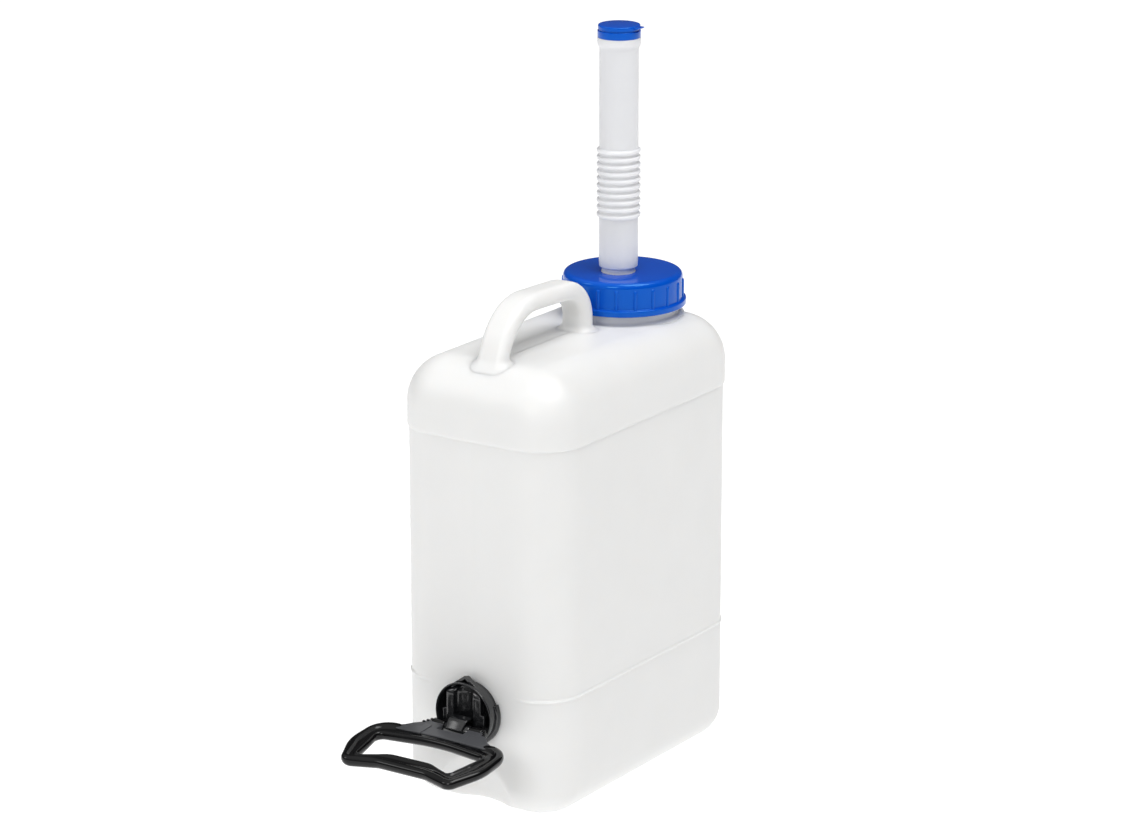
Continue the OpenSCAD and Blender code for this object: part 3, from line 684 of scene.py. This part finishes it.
# %% The handle's skin
def make_handle():
    (y0, z0), (y1, z1) = HANDLE_LINE[:2]
    section = soft_rectangle(HANDLE_W, HANDLE_T, HANDLE_EDGE, 7)
    rings = foot_rings([(x, -t) for x, t in section], y0, (y1 - y0) / (z1 - z0))[::-1]
    for (y, z), (dy, dz) in zip(*bent_line(HANDLE_LINE, HANDLE_BENDS)):
        if z > BODY_H / MM + LEG_CLEAR:
            rings.append([(x * MM, (y - t * dz) * MM, (z + t * dy) * MM) for x, t in section])
    return skin(rings + foot_rings(section, HANDLE_LINE[-1][0], 0.0))


handle = new_piece("carrying_handle", "can", *make_handle(), natural_hdpe)

# %% [markdown]
# ## The parting line on the top
# The two halves of the blow mould meet in the plane along the can. On the narrow walls their
# ridge is already in the rings. The top has no points to lift there, so it gets a strip of
# its own, only a sixth of a millimetre high, that fades out at both ends.

# %% Parting line
STRIP_SINK, STRIP_H, STRIP_HALF = 0.15, 0.15, 0.8


def ridge_strip(line):
    """A low ridge in the plane x = 0, along points of (y, z) in millimetres."""
    line = np.array(line, float)
    along = np.gradient(line, axis=0)
    along /= np.linalg.norm(along, axis=1)[:, None]
    rings = []
    for k, ((y, z), (dy, dz)) in enumerate(zip(line, along)):
        high = STRIP_H * min(1.0, k / 4, (len(line) - 1 - k) / 4)
        section = ((STRIP_HALF, -STRIP_SINK), (STRIP_HALF * 0.45, high * 0.6), (0, high),
                   (-STRIP_HALF * 0.45, high * 0.6), (-STRIP_HALF, -STRIP_SINK))
        rings.append([(x * MM, (y - dz * h) * MM, (z + dy * h) * MM) for x, h in section])
    return skin(rings, closed=False)


top_seam = [(y, BODY_H / MM) for y in np.linspace(-99, 4, 40)]
seam = new_piece("seam_top", "can", *ridge_strip(top_seam), natural_hdpe)

# %% [markdown]
# ## The screw cap
# The cap is a turned form, so half its section is enough: a thick top with a round edge, a
# straight wall and a flange at the foot. The hole for the nipple sits off the cap's middle,
# so the rings of the hole have a centre of their own.

# %% Cap
CAP_Z, CAP_H, CAP_R, FLANGE_R = 387.8, 28.4, 51.0, 54.0
CAP_BORE, CAP_TOP_T, NIPPLE_R, SPOUT_Y = 48.5, 3.0, 14.05, 75.3


def eccentric(line, steps=160):
    """A turned skin whose rings may each have their own centre: (radius, height, centre y)."""
    rings = [[(r * math.cos(a) * MM, (cy + r * math.sin(a)) * MM, z * MM)
              for a in np.linspace(0, 2 * math.pi, steps, endpoint=False)] for r, z, cy in line]
    return skin(rings)


def make_cap():
    top, web = CAP_Z + CAP_H, 30.0               # the top is flat inside this radius
    shell = [(web, top), (CAP_R, top, 5.6), (CAP_R, CAP_Z + 5.5, 0.8),
             (FLANGE_R, CAP_Z + 5.2, 1.2), (FLANGE_R, CAP_Z, 0.8), (CAP_BORE, CAP_Z, 0.6),
             (CAP_BORE, top - CAP_TOP_T, 1.0), (web, top - CAP_TOP_T)]
    bore = [(NIPPLE_R, top - CAP_TOP_T, SPOUT_Y), (NIPPLE_R, top - 0.3, SPOUT_Y),
            (NIPPLE_R + 0.3, top, SPOUT_Y)]
    outside = [(q[0], q[1], NECK_Y / MM) for q in rounded(shell, 1.0, 10)]
    return eccentric(bore + outside + bore[:1])


cap_skin = new_piece("screw_cap_skin", "cap", *make_cap(), blue_polyethylene, angle=40)

# %% [markdown]
# ## The cap's ribs
# Twenty upright ribs give the hand a hold. Each is a small bar with its back sunk into the
# wall, and it sinks away just below the round edge.

# %% Ribs
RIBS = 20
RIB_SECTION = ((-1.9, -1.0), (-1.5, 0.0), (-1.2, 0.8), (-0.6, 1.2), (0.6, 1.2), (1.2, 0.8),
               (1.5, 0.0), (1.9, -1.0))
RIB_LEVELS = ((3, 1.0), (CAP_H - 8.3, 1.0), (CAP_H - 7.2, 0.85), (CAP_H - 6.4, 0.45),
              (CAP_H - 6.0, 0.0))


def make_rib(a):
    """One rib at an angle round the cap."""
    out, side = np.array([math.cos(a), math.sin(a)]), np.array([-math.sin(a), math.cos(a)])
    rings = []
    for up, grow in RIB_LEVELS:
        ring = []
        for s, h in RIB_SECTION:
            r = CAP_R + (h * grow if h > 0 else h) - (0.3 if grow == 0 else 0)
            xy = out * r + side * s
            ring.append((xy[0] * MM, (NECK_Y / MM + xy[1]) * MM, (CAP_Z + up) * MM))
        rings.append(ring)
    return skin(rings, caps=(True, True))


ribs = joined(*(make_rib(math.radians((i + 0.5) * 360 / RIBS)) for i in range(RIBS)))
cap_ribs = new_piece("screw_cap_ribs", "cap", *ribs, blue_polyethylene, angle=50)

# %% [markdown]
# ## The spout
# The spout is blown from soft polyethylene: a plain tube, ten bellows rings that let it
# bend, more tube, and a flared collar at the mouth. It is pushed over a nipple on the cap.
# All of it is round, so one section is turned, with the bellows rings written by a loop.

# %% Spout
TUBE_Z, TUBE_R, TUBE_WALL, SPOUT_LEN = 421.0, 16.6, 1.8, 196.5
BELLOWS, BELLOWS_UP, BELLOWS_PITCH, BELLOWS_OUT = 10, 43.6, 6.15, 2.0


def turned(name, body, line, centre_y, material, steps):
    """A turned piece from (radius, height[, corner radius]) points in millimetres."""
    soft = [(q[0] * MM, q[1] * MM) for q in rounded(line, 1.0, 6)]
    verts, faces = revolved(soft, (0, centre_y * MM), steps)
    return new_piece(name, body, verts, faces, material, angle=40)


def spout_line():
    line = [(NIPPLE_R, TUBE_Z, 0.3), (TUBE_R - 0.2, TUBE_Z, 1.8), (TUBE_R, TUBE_Z + 8, 2.0)]
    for i in range(BELLOWS):
        z = TUBE_Z + BELLOWS_UP + BELLOWS_PITCH * i
        line += [(TUBE_R, z - 0.4, 0.8), (TUBE_R + BELLOWS_OUT, z + 0.2, 0.8),
                 (TUBE_R + BELLOWS_OUT, z + 2.7, 0.8), (TUBE_R, z + 3.3, 0.8)]
    end = TUBE_Z + SPOUT_LEN
    line += [(TUBE_R, end - 8.7, 1.2), (TUBE_R + 1.7, end - 6.2, 1.4), (TUBE_R + 1.7, end, 0.5),
             (TUBE_R - TUBE_WALL, end, 0.4), (TUBE_R - TUBE_WALL, TUBE_Z + 27, 0.5),
             (NIPPLE_R, TUBE_Z + 24, 0.5), (NIPPLE_R, TUBE_Z, 0.3)]
    return line


spout_skin = turned("spout_skin", "cap", spout_line(), SPOUT_Y, spout_ldpe, 96)

# %% [markdown]
# ## The stopper
# The stopper is a hollow plug with a skirt over the mouth, a groove to hook a nail into and
# a small thumb tab. The plug is turned, and the tab is a wedge whose edges are bevelled, as
# a mould with small round tools would leave it.

# %% Stopper
MOUTH_Z = TUBE_Z + SPOUT_LEN
PLUG = [(13.15, 3.0, 0.5), (13.15, -20, 0.3), (14.7, -20, 0.6), (14.7, 0, 0.1), (18.2, 0, 0.5),
        (18.2, 6, 0.6), (16.8, 6, 0.3), (16.8, 7.2, 0.3), (17.8, 7.2, 0.5), (17.8, 10.8, 1.3),
        (0.01, 10.8, 0.1)]
TAB_SIDE = [(12, 0.4), (21.4, 1.6), (22.3, 2.3), (22.3, 3.0), (12, 3.4)]
TAB_UP, TAB_HALF = 7.2, 4.5

stopper_line = [(r, MOUTH_Z + z, corner) for r, z, corner in PLUG]
stopper_skin = turned("stopper_skin", "stopper", stopper_line, SPOUT_Y, blue_polyethylene, 96)


def make_tab():
    base = MOUTH_Z + TAB_UP
    return skin([[(x * MM, (SPOUT_Y + w) * MM, (base + z) * MM) for x, z in TAB_SIDE]
                 for w in (-TAB_HALF, TAB_HALF)], caps=(True, True))


def softened(obj, width=0.7):
    """Rounds the hard edges of a piece, as the mould's own edges are."""
    bevel = obj.modifiers.new("soft_edges", "BEVEL")
    bevel.width, bevel.segments = width * MM, 3
    bevel.limit_method, bevel.angle_limit = "ANGLE", math.radians(30)
    obj.data.set_sharp_from_angle(angle=math.radians(35))
    return obj


tab = softened(new_piece("stopper_tab", "stopper", *make_tab(), blue_polyethylene), 0.5)

# %% [markdown]
# ## The grip
# The grip is a flat ring of glossy black plastic with raised rims along both edges. Its inner
# and outer outlines are offsets of one middle line, each with its own corner radii, and the
# bar's section is stretched between the two. The rims differ at the hand side, the sides and
# the hinge side, so there are three upper sections with equal point counts to blend between.

# %% The grip's place and its two outlines
HINGE_Y, HINGE_Z = -163.0, 76.5
SAG = math.radians(6.5)                  # at rest the grip hangs this far below level
GRIP_OUTER = [(53.7, 92.6), (24, 84.6), (-24, 84.6), (-53.7, 92.6), (-68, 60), (-66, 20),
              (0, 11.5), (66, 20), (69, 60)]
OUTER_ROUND = [8.5, 26, 26, 8.5, 45, 20, 110, 20, 45]
GRIP_INNER = [(46, 80.5), (20, 67.5), (-20, 67), (-43.5, 76), (-48.5, 55), (-53, 40),
              (0, 33), (53, 41), (49.5, 55)]
INNER_ROUND = [3, 26, 26, 4, 30, 5, 150, 5, 30]


def grip_point(x, u, z):
    """A point of the grip's own plane, set at the hinge: x across, u forward, z up."""
    return (-x * MM, (HINGE_Y - (u * math.cos(SAG) + z * math.sin(SAG))) * MM,
            (HINGE_Z - u * math.sin(SAG) + z * math.cos(SAG)) * MM)


def soft_loop(points, radii, side_n=10, arc_n=10):
    """A closed line with round corners, the same number of points for any radii."""
    points = [np.array(q, float) for q in points]
    after = points[1:] + points[:1]
    arcs = []
    for before, here, nxt, radius in zip(points[-1:] + points, points, after, radii):
        u = unit(here - before)
        arcs.append(bend(here, u, turn_between(u, unit(nxt - here)), radius, arc_n))
    out = []
    for arc, following in zip(arcs, arcs[1:] + arcs[:1]):
        end, start = arc[-1], following[0]
        out += arc + [end + (start - end) * k / side_n for k in range(1, side_n)]
    return out


# %% The grip's ring
SIDE_BAR = [(-0.5, 2.4), (-0.48, 3.9), (-0.44, 5.0), (-0.38, 5.4), (-0.31, 5.1), (-0.26, 4.2),
            (-0.2, 3.6), (-0.08, 3.4), (0.02, 3.5), (0.08, 4.2), (0.13, 5.0), (0.21, 5.5),
            (0.32, 5.45), (0.42, 4.9), (0.48, 3.7), (0.5, 2.2)]
HAND_BAR = [(-0.5, 2.6), (-0.49, 3.7), (-0.46, 4.4), (-0.41, 4.7), (-0.34, 4.6), (-0.27, 4.2),
            (-0.2, 4.1), (-0.1, 4.6), (0.0, 5.1), (0.1, 5.4), (0.18, 5.5), (0.26, 5.4),
            (0.34, 4.9), (0.42, 4.1), (0.47, 3.0), (0.5, 1.8)]
HINGE_BAR = [(-0.5, 2.4), (-0.48, 3.9), (-0.44, 5.0), (-0.38, 5.4), (-0.31, 5.1), (-0.26, 4.4),
             (-0.2, 3.9), (-0.08, 3.8), (0.02, 3.8), (0.08, 3.8), (0.13, 3.8), (0.21, 3.8),
             (0.32, 3.7), (0.42, 3.4), (0.48, 2.8), (0.5, 1.8)]
BELLY = [(0.5, 1.0), (0.47, -0.8), (0.4, -2.4), (0.29, -3.6), (0.15, -4.0), (0, -4.0),
         (-0.15, -4.0), (-0.29, -3.6), (-0.4, -2.4), (-0.47, -0.8), (-0.5, 1.0)]


def soft_step(a, b, x):
    """0 at a, 1 at b, and a smooth climb between."""
    t = min(max((x - a) / (b - a), 0.0), 1.0)
    return t * t * (3 - 2 * t)


def make_grip_ring():
    rings = []
    for o, i in zip(soft_loop(GRIP_OUTER, OUTER_ROUND), soft_loop(GRIP_INNER, INNER_ROUND)):
        x, u = (o + i) / 2
        hand = soft_step(74, 80, u) * soft_step(52, 42, abs(x))
        rear = soft_step(48, 38, abs(x)) * soft_step(40, 30, u)
        upper = [(c, z + hand * (hz - z) + rear * (rz - z))
                 for (c, z), (_, hz), (_, rz) in zip(SIDE_BAR, HAND_BAR, HINGE_BAR)]
        rings.append([grip_point(*(i + (o - i) * (c + 0.5)), z) for c, z in upper + BELLY])
    return skin(rings + rings[:1])


grip_ring = new_piece("grip_ring", "grip", *make_grip_ring(), black_nylon)

# %% [markdown]
# ## The grip's hinge plate
# Behind the ring's rear bar a satin plate reaches back to the hinge, with a slot for the
# bracket's tongue. Two sloping facets stiffen it towards the bar's ends, and three small
# teeth on either shoulder catch when the grip is folded up. All are flat pieces, stacked
# from an outline, so one function makes them, and a bevel takes off the hard edges.

# %% Plate, facets and teeth
PLATE = [(12.6, -3.5), (25, -3.5), (29.5, 6), (37, 12), (42, 18), (40, 26), (20, 25.6), (0, 25),
         (-20, 25.6), (-40, 26), (-42, 18), (-37, 12), (-29.5, 6), (-25, -3.5), (-12.6, -3.5),
         (-12.6, 12.6), (12.6, 12.6)]
FACET = [(19, 10.5, 5.2), (30, 9, 4.3), (50, 21, 3.6), (44, 27.2, 4.8), (20, 26.6, 5.2)]
TOOTH_X, TOOTH_U, TOOTH_HALF = 26.2, 0.5, (1.3, 1.1)


def grip_slab(outline, low, high=None):
    """A flat piece of the grip: an outline of (x, u[, height]) points between two heights."""
    top = [grip_point(q[0], q[1], q[2] if len(q) > 2 else high) for q in outline]
    return skin([[grip_point(q[0], q[1], low) for q in outline], top], caps=(True, True))


def tooth(side, k):
    """The outline of one tooth, counted from the hinge."""
    x, u = side * (TOOTH_X + 1.9 * k), TOOTH_U + 3.1 * k
    a, b = TOOTH_HALF
    return [(x - a, u - b), (x + a, u - b), (x + a, u + b), (x - a, u + b)]


facets = joined(*(grip_slab([(side * x, u, z) for x, u, z in FACET], 2.0) for side in (-1, 1)))
all_teeth = joined(*(grip_slab(tooth(side, k), 2.0, 5.4) for side in (-1, 1) for k in range(3)))
plate = softened(new_piece("grip_plate", "grip", *grip_slab(PLATE, 1.2, 4.6), satin_nylon))
wings = softened(new_piece("grip_wings", "grip", *facets, satin_nylon), 0.5)
teeth = softened(new_piece("grip_teeth", "grip", *all_teeth, black_nylon), 0.5)

# %% [markdown]
# ## The grip's knuckles
# The plate turns on two knuckles, one on either side of the slot, with the steel pin through
# both. Each is a short round bar with its ends rounded over, drawn as rings across the grip.

# %% Knuckles
KNUCKLE = ((12.6, 5.3), (13.0, 5.8), (13.6, 6.0), (23.8, 6.0), (24.6, 5.7), (25.0, 5.0))


def grip_knuckle(side):
    return skin([[grip_point(side * x, r * math.cos(a), r * math.sin(a))
                  for a in np.linspace(0, 2 * math.pi, 48, endpoint=False)]
                 for x, r in KNUCKLE], caps=(True, True))


both_knuckles = joined(grip_knuckle(-1), grip_knuckle(1))
knuckles = new_piece("grip_knuckles", "grip", *both_knuckles, black_nylon, angle=40)

# %% [markdown]
# ## The bracket's cup
# The grip folds on a round bracket that snaps over a head on the front wall. It is a thin cup
# with a thicker foot round its lower part. The cup is turned about an axis that stands out
# from the wall, and its lip is rolled over, which is what catches the light in the picture.

# %% The bracket's place, and the cup
BRACKET_Z = 88.0
CUP_LINE = [(0.01, 5.0), (23.4, 5.0, 2.0), (25.8, 13.4, 0.5), (26.4, 14.7, 0.8),
            (27.6, 14.7, 0.9), (27.9, 13.5, 0.5), (26.6, 4.6, 0.4), (25.6, 4.2, 0.4), (25.4, 0.0)]
CUP_FOOT = [(24.5, 0.05), (28.1, 0.05), (28.4, 0.8), (28.3, 4.4), (27.7, 5.4), (26.0, 5.8),
            (24.5, 5.8)]


def wall_point(x, v, d):
    """A point on the front wall: x across, v up from the bracket's middle, d out from it."""
    return (x * MM, FRONT - d * MM, (BRACKET_Z + v) * MM)


def swept(section, angles, drop=0.0):
    """Rings of a (radius, depth) section carried round the bracket's axis."""
    return [[wall_point(r * math.cos(a), r * math.sin(a) - drop, d) for r, d in section]
            for a in angles]


cup_mesh = skin(swept(rounded(CUP_LINE, 1.0, 6), np.linspace(0, 2 * math.pi, 128)), closed=False)
cup = new_piece("bracket_cup", "can", *cup_mesh, bracket_nylon_painted_light, angle=45)
foot_arc = np.radians(np.linspace(-204, 24, 90))
foot_mesh = skin(swept(CUP_FOOT, foot_arc, drop=1.2), caps=(True, True))
cup_foot = softened(new_piece("bracket_foot", "can", *foot_mesh, bracket_nylon_painted_light), 0.4)

# %% [markdown]
# ## The bracket's cheeks
# Two cheeks stand in the cup with a round hollow between them. They are one block whose
# section is the hollow's outline, stacked upwards. It narrows to stay inside the cup and
# rounds over at the top.

# %% Cheeks and the hollow between them
CHEEK_HALF, CHEEK_BACK, CUP_ROOM = 17.2, 4.8, 24.8
CHEEK_EDGE = [(17.2, 4.8), (17.2, 13.2), (16.9, 14.0), (16.2, 14.4), (10.9, 14.4), (10.2, 14.2)]
HOLLOW_R, HOLLOW_D, HOLLOW_MID = 9.9, 9.4, 15.0


def make_cheeks():
    hollow = [(HOLLOW_R * math.cos(math.radians(a)),
               HOLLOW_MID + HOLLOW_D * math.sin(math.radians(a)))
              for a in np.linspace(186, 354, 25)]
    section = [(-x, d) for x, d in CHEEK_EDGE] + hollow + CHEEK_EDGE[::-1]
    rings = []
    for v in np.linspace(-9, 22.8, 44):
        top = min(max((v - 15.5) / 7.4, 0.0), 1.0)
        keep = math.sqrt(1 - (0.97 * top) ** 2)
        fit = min(1.0, math.sqrt(max(CUP_ROOM ** 2 - v * v, 1.0)) / CHEEK_HALF)
        rings.append([wall_point(x * fit, v, CHEEK_BACK + (d - CHEEK_BACK) * keep)
                      for x, d in section])
    return skin(rings, caps=(True, True))


cheeks = new_piece("bracket_cheeks", "can", *make_cheeks(), bracket_nylon_painted_light, angle=50)

# %% [markdown]
# ## The lug and the pads
# A pointed lug roofs the cup and shows which way up the bracket goes, and two pads beside
# the hinge take the grip's thrust. They are slabs cut from outlines, with bevelled edges.

# %% Lug and pads
ROOF = [(-15.4, 22.4), (0, 33.4), (15.4, 22.4), (13.2, 20.2), (0, 30.2), (-13.2, 20.2)]
BACK = [(-13.6, 21.2), (0, 31.0), (13.6, 21.2), (8, 18), (-8, 18)]
PAD = [(15.0, -7.5), (20.5, -7.5), (21.0, 2.5), (15.4, 3.2)]


def wall_slab(outline, d0, d1, drop=0.0):
    """An outline of (x, v) points between two depths; the back may sit lower."""
    return skin([[wall_point(x, v - drop, d0) for x, v in outline],
                 [wall_point(x, v, d1) for x, v in outline]], caps=(True, True))


lug_mesh = joined(wall_slab(ROOF, 5.0, 11.4, 1.6), wall_slab(BACK, 4.4, 6.4))
lug = softened(new_piece("bracket_lug", "can", *lug_mesh, bracket_nylon_painted_light), 0.5)
pad_mesh = joined(*(wall_slab([(side * x, v) for x, v in PAD], 9, 14.2) for side in (1, -1)))
pads = softened(new_piece("bracket_pads", "can", *pad_mesh, bracket_nylon_painted_light), 1.0)

# %% [markdown]
# ## The tongue and the middle knuckle
# A springy tongue bends over the hinge into the plate's slot. It is a flat section carried
# along a bent line, like the handle's. Under it, a knuckle between the grip's two holds the
# pin, with a web that ties it to the cup.

# %% Tongue and middle knuckle
TONGUE_LINE = [(7.5, -6.5), (13.5, -1.9), (21.5, -1.9), (27.5, -8.5)]
TONGUE_BENDS, TONGUE_HALF, TONGUE_T = [0, 5, 6, 0], 9.2, 2.2
PIN_V, PIN_D = -11.5, 20.5               # the hinge's axis, from the bracket's middle
MIDDLE = ((-12, 5.2), (-11.5, 5.6), (11.5, 5.6), (12, 5.2))


def make_tongue():
    """The tongue, a little narrower towards its tip."""
    rings = []
    for (d, v), (dd, dv) in zip(*bent_line(TONGUE_LINE, TONGUE_BENDS, step=1.0)):
        half = TONGUE_HALF - 0.15 * max(d - 20, 0)
        section = soft_rectangle(2 * half, TONGUE_T, 0.8, 4)
        rings.append([wall_point(x, v + t * dd, d - t * dv) for x, t in section])
    return skin(rings, caps=(True, True))


def make_middle_knuckle():
    rings = [[wall_point(x, PIN_V + r * math.sin(a), PIN_D + r * math.cos(a))
              for a in np.linspace(0, 2 * math.pi, 40, endpoint=False)] for x, r in MIDDLE]
    web = [(-11.8, -17), (11.8, -17), (11.8, -13), (-11.8, -13)]
    return joined(skin(rings, caps=(True, True)), wall_slab(web, 5, PIN_D))


tongue = new_piece("bracket_tongue", "can", *make_tongue(), bracket_nylon_painted_light, angle=50)
middle = new_piece("bracket_knuckle", "can", *make_middle_knuckle(), bracket_nylon_painted_light, angle=40)

# %% [markdown]
# ## CAD nodes that stay, and the ones that are replaced
# The nipple, the sealing ring and the pin keep their CAD meshes with a better material. The
# other nodes stay in the physics and are hidden here, and the skins above stand for them. The
# drawn pieces are listed under the part's colour slots, and only their counts are printed.

# %% Materials, replaced nodes and colour slots
for node, material in (("spout_nipple", spout_ldpe), ("cap_gasket", seal_foam),
                       ("hinge_pin", ground_steel)):
    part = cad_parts[node]
    part.data.materials.clear()
    part.data.materials.append(material)
    print(node, "is now", material.name)
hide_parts("canister")
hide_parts("screw_cap")
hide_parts("spout")
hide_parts("spout_stopper")
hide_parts("grip")
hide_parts("grip_bracket")
for slot, pieces in (("natural_pe", (canister_skin, neck, handle, thread, seam)),
                     ("blue_plastic", (cap_skin, cap_ribs, stopper_skin, tab)),
                     ("spout_pe", (spout_skin,)),
                     ("black_plastic", (grip_ring, plate, wings, teeth, knuckles, cup, cup_foot,
                                        cheeks, lug, pads, tongue, middle))):
    print(slot, "on", len(pieces), "pieces")
